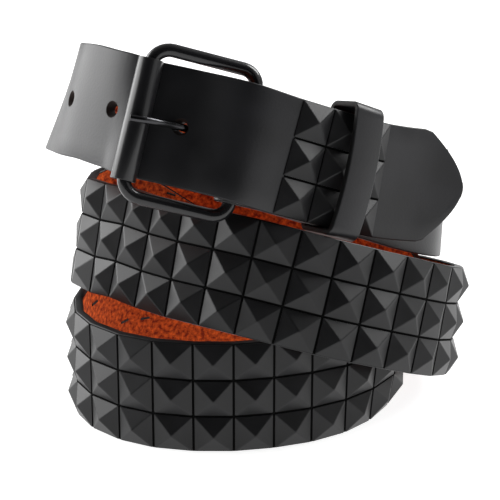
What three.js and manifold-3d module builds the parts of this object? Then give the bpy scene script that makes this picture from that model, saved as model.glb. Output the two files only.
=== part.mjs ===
// A studded leather belt, buckled into a loop and coiled in three stacked turns.
// Millimetres, +Z up; it stands on the lower edge of its bottom turn, on z = 0.
import * as THREE from 'three';
import { mergeVertices } from 'three/addons/utils/BufferGeometryUtils.js';
import Module from 'manifold-3d';

const wasm = await Module();
wasm.setup();

// Strap
const strap_width = 38.1;
const leather = 2.8;
const coil_radius = 58;
const tip_length = 15;
const tip_power = 1.75;

// Pyramid studs
const stud_rows = 3;
const column_pitch = 13.2;
const column_gap = 1.0;
const row_gap = 0.55;
const stud_height = 3.5;
const skirt_height = 0.5;
const skirt_inset = 0.15;
const field_start = 111.8;
const field_columns = 62;
const tip_columns = 3;
const tip_column_pitch = 12.9;
const tip_field_start = 15;

// Holes
const hole_diameter = 4.8;
const hole_pitch = 25.4;
const hole_count = 5;
const prong_slip = 0.6;

// Buckle
const bar_radius = 2.2;
const heel_to_roller = 35.3;
const frame_inner_height = 43.8;
const roller_corner = 6.5;
const heel_corner = 5.5;
const roller_wall = 0.95;
const roller_slack = 0.95;
const roller_length = 39.4;
const running_gap = 0.35;
const prong_radius = 1.2;
const prong_overhang = 3;
const prong_drop = 1.4;
const buckle_kick = 13;

// Fold of the buckle end, keeper and rivets
const fold_length = 54;
const slot_width = 5;
const slot_length = 15;
const keeper_place = 35;
const keeper_width = 11.5;
const keeper_leather = 2;
const keeper_room = 1.0;
const keeper_slip = 1.1;
const keeper_bend = 1;
const keeper_rise = 0.8;
const rivet_places = [24, 46];
const rivet_radius = 1.6;
const rivet_head_radius = 3.5;
const rivet_head = 0.9;

// Layers of the lap, counted outward from the outer face of the buckle end
const lay_gap = 1.8;
const lap_offset = lay_gap + leather;
const layer_gap = keeper_leather + 2 * keeper_slip;
const lap_length = 80.5;

// The coil's outer face, mid-width, turn angle counted on from the heel bar in degrees:
// radius as a share of coil_radius, height as a share of strap_width, lean outward in degrees.
const coil_rows = [
  { turn: -90, radius: 0.71, height: 2.625, lean: -13.5 },
  { turn: -72, radius: 0.655, height: 2.5, lean: -8.5 },
  { turn: -53, radius: 0.656, height: 2.37, lean: -8 },
  { turn: -38, radius: 0.7, height: 2.255, lean: -8 },
  { turn: -23, radius: 0.795, height: 2.12, lean: -7.5 },
  { turn: -8, radius: 0.955, height: 1.935, lean: -6 },
  { turn: 7, radius: 1.17, height: 1.735, lean: 0 },
  { turn: 18, radius: 1.25, height: 1.63, lean: 5 },
  { turn: 34, radius: 1.215, height: 1.555, lean: 8 },
  { turn: 60, radius: 1.035, height: 1.53, lean: 6 },
  { turn: 90, radius: 0.875, height: 1.53, lean: 4 },
  { turn: 125, radius: 0.895, height: 1.53, lean: 2 },
  { turn: 155, radius: 0.94, height: 1.525, lean: -3 },
  { turn: 177, radius: 1.03, height: 1.52, lean: -11 },
  { turn: 190, radius: 0.915, height: 1.545, lean: -16 },
  { turn: 204, radius: 0.83, height: 1.59, lean: -16.5 },
  { turn: 237, radius: 0.78, height: 1.59, lean: -17 },
  { turn: 270, radius: 0.855, height: 1.54, lean: -18.5 },
  { turn: 297, radius: 0.972, height: 1.365, lean: -15.5 },
  { turn: 320, radius: 1.085, height: 1.135, lean: -8 },
  { turn: 341, radius: 1.195, height: 0.875, lean: 0.5 },
  { turn: 362, radius: 1.25, height: 0.655, lean: 8 },
  { turn: 388, radius: 1.13, height: 0.53, lean: 8 },
  { turn: 415, radius: 0.9, height: 0.5, lean: 0 },
  { turn: 450, radius: 0.735, height: 0.5, lean: 0 },
  { turn: 480, radius: 0.775, height: 0.5, lean: 0 },
  { turn: 507, radius: 0.885, height: 0.5, lean: 0 },
  { turn: 527, radius: 0.96, height: 0.5, lean: 0 },
  { turn: 545, radius: 1.04, height: 0.5, lean: 0 },
  { turn: 567, radius: 1.11, height: 0.5, lean: 0 },
  { turn: 591, radius: 1.08, height: 0.5, lean: 0 },
  { turn: 616, radius: 0.985, height: 0.5, lean: 0 },
  { turn: 643, radius: 0.908, height: 0.5, lean: 0 },
  { turn: 671, radius: 0.91, height: 0.505, lean: 4 },
  { turn: 700, radius: 0.955, height: 0.53, lean: 13 },
  { turn: 725, radius: 0.985, height: 0.625, lean: 18 },
  { turn: 745, radius: 0.9, height: 0.86, lean: 13 },
  { turn: 770, radius: 0.77, height: 1.22, lean: 8 },
  { turn: 800, radius: 0.61, height: 1.64, lean: 4 },
  { turn: 830, radius: 0.7, height: 1.98, lean: 2 },
  { turn: 855, radius: 0.73, height: 2.31, lean: 0 },
  { turn: 868, radius: 0.77, height: 2.485, lean: -3 },
  { turn: 880, radius: 0.955, height: 2.605, lean: -12 },
  { turn: 889.5, radius: 1.11, height: 2.71, lean: -17.5 },
  { turn: 898, radius: 1.085, height: 2.775, lean: -18.5 },
  { turn: 909.5, radius: 1.04, height: 2.835, lean: -17.5 },
  { turn: 922, radius: 0.97, height: 2.87, lean: -17 },
  { turn: 934, radius: 0.922, height: 2.87, lean: -17 },
];

// The strap's way through the buckle: along as a share of heel_to_roller from the roller.
const roller_radius = bar_radius + roller_slack + roller_wall;
const heel_layer = bar_radius + running_gap + leather;
const ring_radius = bar_radius + running_gap + prong_radius;
// The prong comes up through the strap at the second row.
const pass_rows = [
  { along: 0, out: -roller_radius - 2.8 * running_gap, rise: 0.03 },
  { along: 0.4, out: 0.1 * leather, rise: 0.028 },
  { along: 0.97, out: heel_layer + lap_offset, rise: 0.012 },
];

// The prong slides on the heel bar to where the strap's holes are.
const prong_seat = pass_rows[1].rise * strap_width;
const hole_x = (pass_rows[1].along - 0.5) * heel_to_roller;

// The free end beyond the heel bar: along as a share of lap_length, lift off the buckle end
// as a share of leather, and rise across it as a share of strap_width.
const lap_rows = [
  { along: 0.14, lift: 0, rise: 0 },
  { along: 0.28, lift: 0, rise: 0 },
  { along: 0.43, lift: 0, rise: 0.005 },
  { along: 0.58, lift: 0.05, rise: 0.02 },
  { along: 0.72, lift: 0.3, rise: 0.055 },
  { along: 0.85, lift: 1.0, rise: 0.1 },
  { along: 1.0, lift: 2.9, rise: 0.14 },
];

const up = new THREE.Vector3(0, 0, 1);
const steady_tolerance = 1e-3;

// A smooth ribbon through stations of { point, across }, read by distance along it.
function ribbon(stations) {
  const knots = [0];
  for (let i = 1; i < stations.length; i += 1) {
    knots.push(knots[i - 1] + stations[i].point.distanceTo(stations[i - 1].point));
  }
  const slope = (key, i) => {
    const before = Math.max(i - 1, 0);
    const after = Math.min(i + 1, stations.length - 1);
    const rate = (a, b) => stations[b][key].clone().sub(stations[a][key]).divideScalar(knots[b] - knots[a]);
    if (before === i) return rate(i, after).multiplyScalar(1.5).addScaledVector(rate(after, after + 1), -0.5);
    if (after === i) return rate(before, i).multiplyScalar(1.5).addScaledVector(rate(before - 1, before), -0.5);
    const share = (knots[i] - knots[before]) / (knots[after] - knots[before]);
    const mean = rate(before, i).lerp(rate(i, after), share);
    // What is steady on one side stays steady, so the ribbon never dips below a level stretch.
    ['x', 'y', 'z'].forEach((axis) => {
      const steady = (other) => Math.abs(stations[i][key][axis] - stations[other][key][axis]) < steady_tolerance;
      if (steady(before) || steady(after)) mean[axis] = 0;
    });
    return mean;
  };
  const slopes = stations.map((_, i) => ({ point: slope('point', i), across: slope('across', i) }));
  const blend = (key, i, t) => {
    const span = knots[i + 1] - knots[i];
    const t2 = t * t;
    const t3 = t2 * t;
    return stations[i][key].clone().multiplyScalar(2 * t3 - 3 * t2 + 1)
      .addScaledVector(slopes[i][key], span * (t3 - 2 * t2 + t))
      .addScaledVector(stations[i + 1][key], 3 * t2 - 2 * t3)
      .addScaledVector(slopes[i + 1][key], span * (t3 - t2));
  };
  const seat = (distance) => {
    let i = 0;
    while (i < knots.length - 2 && distance > knots[i + 1]) i += 1;
    return [i, (distance - knots[i]) / (knots[i + 1] - knots[i])];
  };
  const step = 0.05;
  const at = (distance) => {
    const [i, t] = seat(distance);
    const point = blend('point', i, t);
    const tangent = blend('point', ...seat(distance + step)).sub(blend('point', ...seat(distance - step)));
    tangent.normalize();
    const across = blend('across', i, t);
    across.addScaledVector(tangent, -across.dot(tangent)).normalize();
    const out = tangent.clone().cross(across);
    return { point, tangent, across, out };
  };
  return { at, length: knots[knots.length - 1], knots };
}

// A station of the coil: outward is straight away from the coil's axis.
function coilStation(row) {
  const angle = THREE.MathUtils.degToRad(row.turn);
  const lean = THREE.MathUtils.degToRad(row.lean);
  const outward = new THREE.Vector3(Math.cos(angle), Math.sin(angle), 0);
  const point = outward.clone().multiplyScalar(row.radius * coil_radius);
  point.addScaledVector(up, row.height * strap_width);
  const across = up.clone().multiplyScalar(Math.cos(lean)).addScaledVector(outward, Math.sin(lean));
  return { point, across };
}

// Buckle end: the coil's own start gives the heel bar and the frame their places.
const coil_stations = coil_rows.map((row) => coilStation(row));
const coil = ribbon(coil_stations);
const heel = coil.at(0);
const heel_bar = heel.point.clone().addScaledVector(heel.out, -heel_layer);

// The fold: a flap under the buckle end, then round the heel bar.
function flapStation(along, gap) {
  const base = coil.at(along);
  const point = base.point.clone().addScaledVector(base.out, -2 * leather - gap);
  return { point, across: base.across };
}

const bar_gap = 2 * (bar_radius + running_gap);
const flap_stations = [1, 0.9, 0.8, 0.7, 0.6, 0.5, 0.4, 0.3, 0.2, 0.1].map((share) => {
  const spread = THREE.MathUtils.smoothstep(0.35 - share, 0, 0.25);
  return flapStation(share * fold_length, layer_gap + spread * (bar_gap - layer_gap));
});
const wrap_stations = [180, 150, 120, 90, 60, 30].map((degrees) => {
  const angle = THREE.MathUtils.degToRad(degrees);
  const point = heel_bar.clone()
    .addScaledVector(heel.out, heel_layer * Math.cos(angle))
    .addScaledVector(heel.tangent, -heel_layer * Math.sin(angle));
  return { point, across: heel.across };
});

// The frame's own axes: x from roller to heel bar, y across the strap, z outward.
const frame_along = heel.tangent.clone().applyAxisAngle(heel.across, THREE.MathUtils.degToRad(-buckle_kick));
const frame_out = frame_along.clone().cross(heel.across);
const frame_centre = heel_bar.clone().addScaledVector(frame_along, -heel_to_roller / 2);
const frame_placement = new THREE.Matrix4()
  .makeBasis(frame_along, heel.across, frame_out)
  .setPosition(frame_centre);
const roller_axis = frame_centre.clone().addScaledVector(frame_along, -heel_to_roller / 2);

const pass_stations = pass_rows.map((row) => {
  const point = roller_axis.clone()
    .addScaledVector(frame_along, row.along * heel_to_roller)
    .addScaledVector(frame_out, row.out)
    .addScaledVector(heel.across, row.rise * strap_width);
  return { point, across: heel.across };
});

const lap_stations = lap_rows.map((row) => {
  const base = coil.at(row.along * lap_length);
  const point = base.point.clone()
    .addScaledVector(base.out, lap_offset + row.lift * leather)
    .addScaledVector(base.across, row.rise * strap_width);
  return { point, across: base.across };
});

// The buckle end leaves the heel bar square to it, by one more station close to the bar.
const turn_stations = coil.knots.map((knot) => coil.at(knot));
turn_stations.splice(1, 0, coil.at(heel_layer));

const strap_path = ribbon([...flap_stations, ...wrap_stations, ...turn_stations, ...pass_stations, ...lap_stations]);
const heel_at = strap_path.knots[flap_stations.length + wrap_stations.length];
const wrap_at = strap_path.knots[flap_stations.length - 1];
const roller_at = strap_path.knots[flap_stations.length + wrap_stations.length + turn_stations.length];
const heel_pass_at = strap_path.knots[strap_path.knots.length - lap_stations.length - 1];
const prong_hole_at = strap_path.knots[strap_path.knots.length - lap_stations.length - pass_rows.length + 1];

// Lines across the strap: where the leather is cut into flat steps, with studs on some.
const lines = [];

function plainStretch(from, to, step) {
  const count = Math.max(1, Math.round((to - from) / step));
  for (let i = 1; i <= count; i += 1) {
    lines.push({ at: from + ((to - from) * i) / count, half: 1, studs: false });
  }
}

function studStretch(from, columns, pitch) {
  for (let i = 0; i < columns; i += 1) {
    const start = from + i * pitch;
    lines.push({ at: start + column_gap / 2, half: 1, studs: false });
    lines.push({ at: start + pitch - column_gap / 2, half: 1, studs: true });
  }
  return from + columns * pitch;
}

function tipStretch(from) {
  const steps = [0.12, 0.25, 0.4, 0.55, 0.7, 0.82, 0.91, 0.97, 0.998];
  steps.forEach((share) => {
    lines.push({ at: from + share * tip_length, half: (1 - share) ** (1 / tip_power), studs: false });
  });
}

const field_at = heel_at + field_start;
const tip_field_at = heel_pass_at + tip_field_start;
const tip_at = strap_path.length - tip_length;
lines.push({ at: 0, half: 1, studs: false });
plainStretch(0, wrap_at, 6);
plainStretch(wrap_at, heel_at, 1.4);
plainStretch(heel_at, field_at, 5);
const field_end = studStretch(field_at, field_columns, column_pitch);
plainStretch(field_end, roller_at - 12, 5);
plainStretch(roller_at - 12, tip_field_at, 3);
const tip_field_end = studStretch(tip_field_at, tip_columns, tip_column_pitch);
plainStretch(tip_field_end, tip_at, 4);
tipStretch(tip_at);

// Places across the strap of the edges of the rows of studs, as offsets from its middle.
const row_pitch = strap_width / stud_rows;
const row_edges = [-strap_width / 2];
for (let row = 0; row < stud_rows; row += 1) {
  const low = -strap_width / 2 + row * row_pitch;
  row_edges.push(low + row_gap / 2, low + row_pitch - row_gap / 2);
}
row_edges.push(strap_width / 2);

// One closed skin: leather with its studs on the outer face, and a plain inner face.
function strapGeometry(strap_lines) {
  const points = [];
  const faces = [];
  const add = (point) => points.push(point) - 1;
  const quad = (a, b, c, d) => faces.push([a, b, c], [a, c, d]);
  const rings = strap_lines.map((line) => {
    const frame = strap_path.at(line.at);
    const onFace = (offset, depth) => frame.point.clone()
      .addScaledVector(frame.across, offset * line.half)
      .addScaledVector(frame.out, -depth);
    const outer = row_edges.map((offset) => add(onFace(offset, 0)));
    const inner = [-strap_width / 2, strap_width / 2].map((offset) => add(onFace(offset, leather)));
    return { frame, outer, inner };
  });
  const stud = (corners, out) => {
    const centre = new THREE.Vector3();
    corners.forEach((index) => centre.addScaledVector(points[index], 0.25));
    const skirt = corners.map((index) => {
      const inward = centre.clone().sub(points[index]).normalize();
      return add(points[index].clone().addScaledVector(inward, skirt_inset).addScaledVector(out, skirt_height));
    });
    const apex = add(centre.clone().addScaledVector(out, stud_height));
    corners.forEach((_, i) => {
      const j = (i + 1) % 4;
      quad(corners[i], corners[j], skirt[j], skirt[i]);
      faces.push([skirt[i], skirt[j], apex]);
    });
  };
  for (let i = 1; i < rings.length; i += 1) {
    const a = rings[i - 1];
    const b = rings[i];
    const out = a.frame.out.clone().add(b.frame.out).normalize();
    for (let j = 0; j < row_edges.length - 1; j += 1) {
      const corners = [a.outer[j], b.outer[j], b.outer[j + 1], a.outer[j + 1]];
      if (strap_lines[i].studs && j % 2 === 1) stud(corners, out);
      else quad(...corners);
    }
    const last = row_edges.length - 1;
    quad(a.inner[0], a.inner[1], b.inner[1], b.inner[0]);
    quad(a.outer[0], a.inner[0], b.inner[0], b.outer[0]);
    quad(a.outer[last], b.outer[last], b.inner[1], a.inner[1]);
  }
  const cap = (ring, flip) => {
    const rim = [...ring.outer, ring.inner[1]];
    for (let j = 0; j < rim.length - 1; j += 1) {
      const face = [ring.inner[0], rim[j], rim[j + 1]];
      faces.push(flip ? face.reverse() : face);
    }
  };
  cap(rings[0], false);
  cap(rings[rings.length - 1], true);
  const geometry = new THREE.BufferGeometry();
  const values = points.flatMap((point) => point.toArray());
  geometry.setAttribute('position', new THREE.Float32BufferAttribute(values, 3));
  geometry.setIndex(faces.flat());
  return geometry;
}

// Joins and cuts
function toSolid(geometry) {
  const bare = geometry.index ? geometry.clone() : mergeVertices(geometry.clone());
  bare.deleteAttribute('normal');
  bare.deleteAttribute('uv');
  const merged = mergeVertices(bare, 1e-4);
  return new wasm.Manifold(new wasm.Mesh({
    numProp: 3,
    vertProperties: new Float32Array(merged.attributes.position.array),
    triVerts: new Uint32Array(merged.index.array),
  }));
}

function toGeometry(solid) {
  const mesh = solid.getMesh();
  const geometry = new THREE.BufferGeometry();
  geometry.setAttribute('position', new THREE.BufferAttribute(mesh.vertProperties, 3));
  geometry.setIndex(new THREE.BufferAttribute(mesh.triVerts, 1));
  return geometry;
}

function placement(frame, centre) {
  return new THREE.Matrix4().makeBasis(frame.tangent, frame.across, frame.out).setPosition(centre);
}

// A round hole through the strap, centred at a distance along it.
function holeCutter(at, depth) {
  const frame = strap_path.at(at);
  const centre = frame.point.clone().addScaledVector(frame.out, -leather / 2);
  const cutter = new THREE.CylinderGeometry(hole_diameter / 2, hole_diameter / 2, depth, 16).rotateX(Math.PI / 2);
  return toSolid(cutter.applyMatrix4(placement(frame, centre)));
}

function strapSolid() {
  let solid = toSolid(strapGeometry(lines));
  const depth = leather + 2 * running_gap;
  for (let i = 0; i < hole_count; i += 1) {
    solid = solid.subtract(holeCutter(prong_hole_at - i * hole_pitch, depth));
  }
  solid = solid.subtract(toSolid(shankGeometry(prong_radius + prong_slip).applyMatrix4(frame_placement)));
  const slot = new THREE.BoxGeometry(slot_length, slot_width, 2 * (heel_layer + running_gap));
  slot.translate(slot_length / 2 - heel_layer - running_gap, 0, 0);
  solid = solid.subtract(toSolid(slot.applyMatrix4(placement(heel, heel_bar))));
  rivet_places.forEach((place) => {
    solid = solid.subtract(toSolid(rivetHole().applyMatrix4(rivetPlacement(place))));
  });
  return solid;
}

// Rivets: a pin with two flat heads, its own z axis along the strap's outward direction.
const rivet_stack = 2 * leather + layer_gap;
const pin_reach = rivet_stack / 2 + 1.5 * running_gap;

function rivetPlacement(place) {
  const frame = coil.at(place);
  return placement(frame, frame.point.clone().addScaledVector(frame.out, -rivet_stack / 2));
}

function rivetGeometry() {
  const profile = [
    [0, -pin_reach - rivet_head], [0.85 * rivet_head_radius, -pin_reach - rivet_head],
    [rivet_head_radius, -pin_reach - 0.5 * rivet_head], [rivet_head_radius, -pin_reach],
    [rivet_radius, -pin_reach], [rivet_radius, pin_reach], [rivet_head_radius, pin_reach],
    [rivet_head_radius, pin_reach + 0.5 * rivet_head], [0.85 * rivet_head_radius, pin_reach + rivet_head],
    [0, pin_reach + rivet_head],
  ].map(([radius, height]) => new THREE.Vector2(radius, height));
  return new THREE.LatheGeometry(profile, 16).rotateX(Math.PI / 2);
}

function rivetHole() {
  const radius = rivet_radius + running_gap;
  return new THREE.CylinderGeometry(radius, radius, 2 * pin_reach, 16).rotateX(Math.PI / 2);
}

// The buckle, in the frame's own axes
function frameGeometry() {
  const sides = 10;
  const half_along = heel_to_roller / 2;
  const half_across = frame_inner_height / 2 + bar_radius;
  const corners = [
    [1, 1, 0, heel_corner], [-1, 1, 90, roller_corner],
    [-1, -1, 180, roller_corner], [1, -1, 270, heel_corner],
  ];
  const rim = corners.flatMap(([x, y, start, corner]) => [0, 22.5, 45, 67.5, 90].map((sweep) => {
    const angle = THREE.MathUtils.degToRad(start + sweep);
    const normal = new THREE.Vector3(Math.cos(angle), Math.sin(angle), 0);
    const centre = new THREE.Vector3(x * (half_along - corner), y * (half_across - corner), 0);
    return { point: centre.addScaledVector(normal, corner), normal };
  }));
  const points = rim.flatMap(({ point, normal }) => Array.from({ length: sides }, (_, k) => {
    const angle = (2 * Math.PI * k) / sides;
    const bulge = normal.clone().multiplyScalar(bar_radius * Math.cos(angle));
    return point.clone().add(bulge).addScaledVector(up, bar_radius * Math.sin(angle));
  }));
  const faces = [];
  rim.forEach((_, i) => {
    const next = (i + 1) % rim.length;
    for (let k = 0; k < sides; k += 1) {
      const l = (k + 1) % sides;
      const [a, b, c, d] = [i * sides + k, next * sides + k, next * sides + l, i * sides + l];
      faces.push(a, b, c, a, c, d);
    }
  });
  const geometry = new THREE.BufferGeometry();
  geometry.setAttribute('position', new THREE.Float32BufferAttribute(points.flatMap((p) => p.toArray()), 3));
  geometry.setIndex(faces);
  return geometry;
}

function rollerGeometry() {
  const half = roller_length / 2;
  const inner = bar_radius + roller_slack;
  const profile = [
    [inner, -half], [roller_radius, -half], [roller_radius, half], [inner, half], [inner, -half],
  ].map(([radius, height]) => new THREE.Vector2(radius, height));
  return new THREE.LatheGeometry(profile, 24).translate(-heel_to_roller / 2, 0, 0);
}

// The prong's shank, from its ring, up through the strap's hole and a little askew over the roller.
function shankGeometry(radius) {
  const roller_top = roller_radius + running_gap + prong_radius;
  const end_seat = prong_seat - prong_drop;
  const spine = new THREE.CatmullRomCurve3([
    new THREE.Vector3(heel_to_roller / 2 - ring_radius, prong_seat, 0),
    new THREE.Vector3(hole_x + 7, prong_seat, -1.7 * prong_radius),
    new THREE.Vector3(hole_x, prong_seat, -0.4 * prong_radius),
    new THREE.Vector3(-heel_to_roller / 2 + 2, end_seat + 0.3 * prong_drop, roller_top),
    new THREE.Vector3(-heel_to_roller / 2 - prong_overhang, end_seat, roller_top - 0.3 * prong_radius),
  ]);
  const section = new THREE.Shape().absarc(0, 0, radius, 0, 2 * Math.PI);
  return new THREE.ExtrudeGeometry(section, { steps: 16, extrudePath: spine, curveSegments: 5 });
}

function prongSolid() {
  const ring = new THREE.TorusGeometry(ring_radius, prong_radius, 8, 20).rotateX(Math.PI / 2);
  ring.translate(heel_to_roller / 2, prong_seat, 0);
  return toSolid(shankGeometry(prong_radius)).add(toSolid(ring));
}

// The keeper: a leather loop round the buckle end's outer layer and the lap.
function keeperGeometry() {
  const low = -leather - keeper_slip - keeper_leather;
  const high = lap_offset + stud_height + keeper_slip + keeper_leather;
  const reach = strap_width / 2 + keeper_room + keeper_leather;
  const loop = (x0, x1, y, radius, path) => {
    path.absarc(x1 - radius, y - radius, radius, 0, Math.PI / 2);
    path.absarc(x0 + radius, y - radius, radius, Math.PI / 2, Math.PI);
    path.absarc(x0 + radius, -y + radius, radius, Math.PI, 1.5 * Math.PI);
    path.absarc(x1 - radius, -y + radius, radius, 1.5 * Math.PI, 2 * Math.PI);
    return path;
  };
  const outline = loop(low, high, reach, keeper_leather + keeper_bend, new THREE.Shape());
  const wall = keeper_leather;
  outline.holes.push(loop(low + wall, high - wall, reach - wall, keeper_bend, new THREE.Path()));
  const band = new THREE.ExtrudeGeometry(outline, { depth: keeper_width, bevelEnabled: false, curveSegments: 5 });
  return band.translate(0, keeper_rise, -keeper_width / 2);
}

// Assembly
const belt = new THREE.Group();
belt.name = 'studded_belt';

function piece(parent, name, geometry, colour, roughness, metalness) {
  const material = new THREE.MeshStandardMaterial({ color: colour, roughness, metalness });
  const mesh = new THREE.Mesh(geometry, material);
  mesh.name = name;
  parent.add(mesh);
  return mesh;
}

piece(belt, 'strap', toGeometry(strapSolid()), 0x1c1c1e, 0.5, 0);

const buckle = new THREE.Group();
buckle.applyMatrix4(frame_placement);
belt.add(buckle);
piece(buckle, 'buckle_frame', frameGeometry(), 0x2a2a2c, 0.35, 1);
piece(buckle, 'roller', rollerGeometry(), 0x2a2a2c, 0.3, 1);
piece(buckle, 'prong', toGeometry(prongSolid()), 0x5a5a5c, 0.25, 1);

const keeper_seat = coil.at(keeper_place);
const keeper = piece(belt, 'keeper', keeperGeometry(), 0x242426, 0.55, 0);
keeper.applyMatrix4(new THREE.Matrix4()
  .makeBasis(keeper_seat.out, keeper_seat.across, keeper_seat.tangent.clone().negate())
  .setPosition(keeper_seat.point));

rivet_places.forEach((place, i) => {
  const rivet = piece(belt, `rivet_${i + 1}`, rivetGeometry(), 0x8a8a8c, 0.35, 1);
  rivet.applyMatrix4(rivetPlacement(place));
});

// The belt stands centred over the origin.
const bounds = new THREE.Box3().setFromObject(belt, true);
const middle = bounds.getCenter(new THREE.Vector3());
belt.position.set(-middle.x, -middle.y, -bounds.min.z);

export default belt;
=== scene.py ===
"""A studded leather belt, buckled into a loop and coiled in three stacked turns.

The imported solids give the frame, and this script dresses them. The strap is cut, punched and
studded flat, as a belt maker does it, and is then rolled onto the coil's route. Metres, +Z up.
"""

import bisect
import logging
import math
import random
from contextlib import contextmanager
from dataclasses import dataclass
from enum import Enum
from typing import Callable, Iterator, NamedTuple

import bpy
from bpy.types import Material, NodeSocket, NodeTree, Object
from mathutils import Matrix, Vector


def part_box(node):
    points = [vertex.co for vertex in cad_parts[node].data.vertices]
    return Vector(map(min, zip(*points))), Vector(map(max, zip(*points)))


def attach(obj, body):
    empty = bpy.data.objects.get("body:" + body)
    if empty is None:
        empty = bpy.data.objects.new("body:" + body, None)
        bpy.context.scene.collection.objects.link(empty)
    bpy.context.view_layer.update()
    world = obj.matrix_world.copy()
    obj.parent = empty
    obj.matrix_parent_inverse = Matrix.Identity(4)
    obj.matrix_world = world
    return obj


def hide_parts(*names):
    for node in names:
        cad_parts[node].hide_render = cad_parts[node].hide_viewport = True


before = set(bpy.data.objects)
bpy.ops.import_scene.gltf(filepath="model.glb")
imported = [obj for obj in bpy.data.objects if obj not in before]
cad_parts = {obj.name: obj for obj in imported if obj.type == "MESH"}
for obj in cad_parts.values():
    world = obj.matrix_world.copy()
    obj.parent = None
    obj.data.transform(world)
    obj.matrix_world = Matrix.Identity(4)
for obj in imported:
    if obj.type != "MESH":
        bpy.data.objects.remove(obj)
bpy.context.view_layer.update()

LOG = logging.getLogger("belt")
UP = Vector((0.0, 0.0, 1.0))
WHITE = (1.0, 1.0, 1.0, 1.0)
MM = 0.001
HAIR = 0.01 * MM
EASED = 0.15 * MM
FACING = 0.9
# A value that changes less than this from one station to the next is held level there.
STEADY = {"point": 1e-6, "across": 1e-3}


def select_only(*objects: Object) -> None:
    """Selects these objects and makes the first one active.

    Args:
        objects: The objects to select.
    """
    bpy.ops.object.select_all(action="DESELECT")
    for obj in objects:
        obj.select_set(True)
    bpy.context.view_layer.objects.active = objects[0]


def named(name: str) -> Object:
    """Names the primitive that was just added, and its mesh.

    Args:
        name: The piece's name.

    Returns:
        The new object.
    """
    obj = bpy.context.active_object
    obj.name = name
    obj.data.name = name
    return obj


def facing(direction: Vector) -> Callable:
    """A test for the faces that look along a direction."""
    return lambda face: face.normal.dot(direction) > FACING


@contextmanager
def editing(obj: Object, domain: str, test: Callable) -> Iterator[None]:
    """Edit mode while a block runs, with only some faces or edges selected at its start.

    Args:
        obj: The object to edit.
        domain: "FACE" or "EDGE".
        test: Takes a face, or an edge's two end points, and says whether it is selected.
    """
    select_only(obj)
    mesh = obj.data
    for item in (*mesh.vertices, *mesh.edges, *mesh.polygons):
        item.select = False
    if domain == "FACE":
        for face in mesh.polygons:
            face.select = test(face)
    else:
        for edge in mesh.edges:
            edge.select = test(*(mesh.vertices[i].co for i in edge.vertices))
    bpy.ops.object.mode_set(mode="EDIT")
    bpy.ops.mesh.select_mode(type=domain)
    yield
    bpy.ops.object.mode_set(mode="OBJECT")


def finish_with(obj: Object, kind: str, **settings: object) -> None:
    """Adds a modifier and applies it.

    Args:
        obj: The object to change.
        kind: Blender's name for the modifier's type.
        settings: The modifier's settings.
    """
    select_only(obj)
    modifier = obj.modifiers.new(kind.lower(), kind)
    for key, value in settings.items():
        setattr(modifier, key, value)
    bpy.ops.object.modifier_apply(modifier=modifier.name)


def soften(obj: Object, width: float, segments: int = 2, angle: float = 40) -> None:
    """Bevels an object's edges that are sharper than an angle in degrees."""
    finish_with(obj, "BEVEL", width=width, segments=segments, limit_method="ANGLE",
                angle_limit=math.radians(angle), use_clamp_overlap=False)


def combine(obj: Object, operation: str, other: Object) -> None:
    """Cuts a closed shape out of an object, or joins it in by "UNION", and deletes that shape."""
    finish_with(obj, "BOOLEAN", operation=operation, object=other, solver="EXACT")
    bpy.data.objects.remove(other)


def settle(obj: Object, place: Matrix | None = None) -> None:
    """Moves an object's place into its mesh, so the object sits at the origin.

    Args:
        obj: The object to settle.
        place: Where its own axes lie in the row frame, if not where it is.
    """
    if place is not None:
        obj.matrix_world = place @ obj.matrix_world
    obj.data.transform(obj.matrix_world)
    obj.matrix_world = Matrix.Identity(4)


def primitive(kind: str, name: str, **settings: object) -> Object:
    """Adds one of Blender's mesh primitives, with its place and scale moved into its mesh.

    Args:
        kind: The primitive's kind.
        name: The piece's name.
        settings: The primitive's settings.

    Returns:
        The new object.
    """
    getattr(bpy.ops.mesh, f"primitive_{kind}_add")(**settings)
    made = named(name)
    settle(made)
    return made


def smooth(obj: Object, angle: float) -> None:
    """Shades an object smooth, apart from edges sharper than an angle in degrees."""
    select_only(obj)
    bpy.ops.object.shade_smooth_by_angle(angle=math.radians(angle))


def joined(name: str, objects: list[Object]) -> Object:
    """Joins objects into one.

    Args:
        name: The joined object's name.
        objects: The objects, each with its own mesh.

    Returns:
        The joined object.
    """
    select_only(*objects)
    bpy.ops.object.join()
    return named(name)


def copy_of(obj: Object) -> Object:
    """A copy of an object with its own mesh, in the scene."""
    twin = obj.copy()
    twin.data = obj.data.copy()
    bpy.context.scene.collection.objects.link(twin)
    return twin


def register(obj: Object, slot: str, *nodes: str) -> None:
    """Fixes a finished piece to the belt's body and reports it.

    Args:
        obj: The finished piece.
        slot: The material slot that its finish would come from. Not used.
        nodes: The CAD nodes that it stands for.
    """
    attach(obj, "root")
    if nodes:
        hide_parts(*nodes)
    LOG.info("%s: %d faces", obj.name, len(obj.data.polygons))


def remap(tree: NodeTree, source: NodeSocket, ends: dict[str, float]) -> NodeSocket:
    """Stretches a socket's values from one span to another.

    Args:
        tree: The node tree.
        source: The socket that is read.
        ends: The ends of the spans that aren't 0 or 1, by Blender's names for them.

    Returns:
        The socket with the stretched values.
    """
    spread = tree.nodes.new("ShaderNodeMapRange")
    for end, value in ends.items():
        spread.inputs[end].default_value = value
    tree.links.new(source, spread.inputs["Value"])
    return spread.outputs["Result"]


class Pattern(Enum):
    """Which coordinates a finish's grain follows: the object's own, or places on the flat strap."""

    OBJECT = "object"
    FLAT = "flat"


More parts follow.
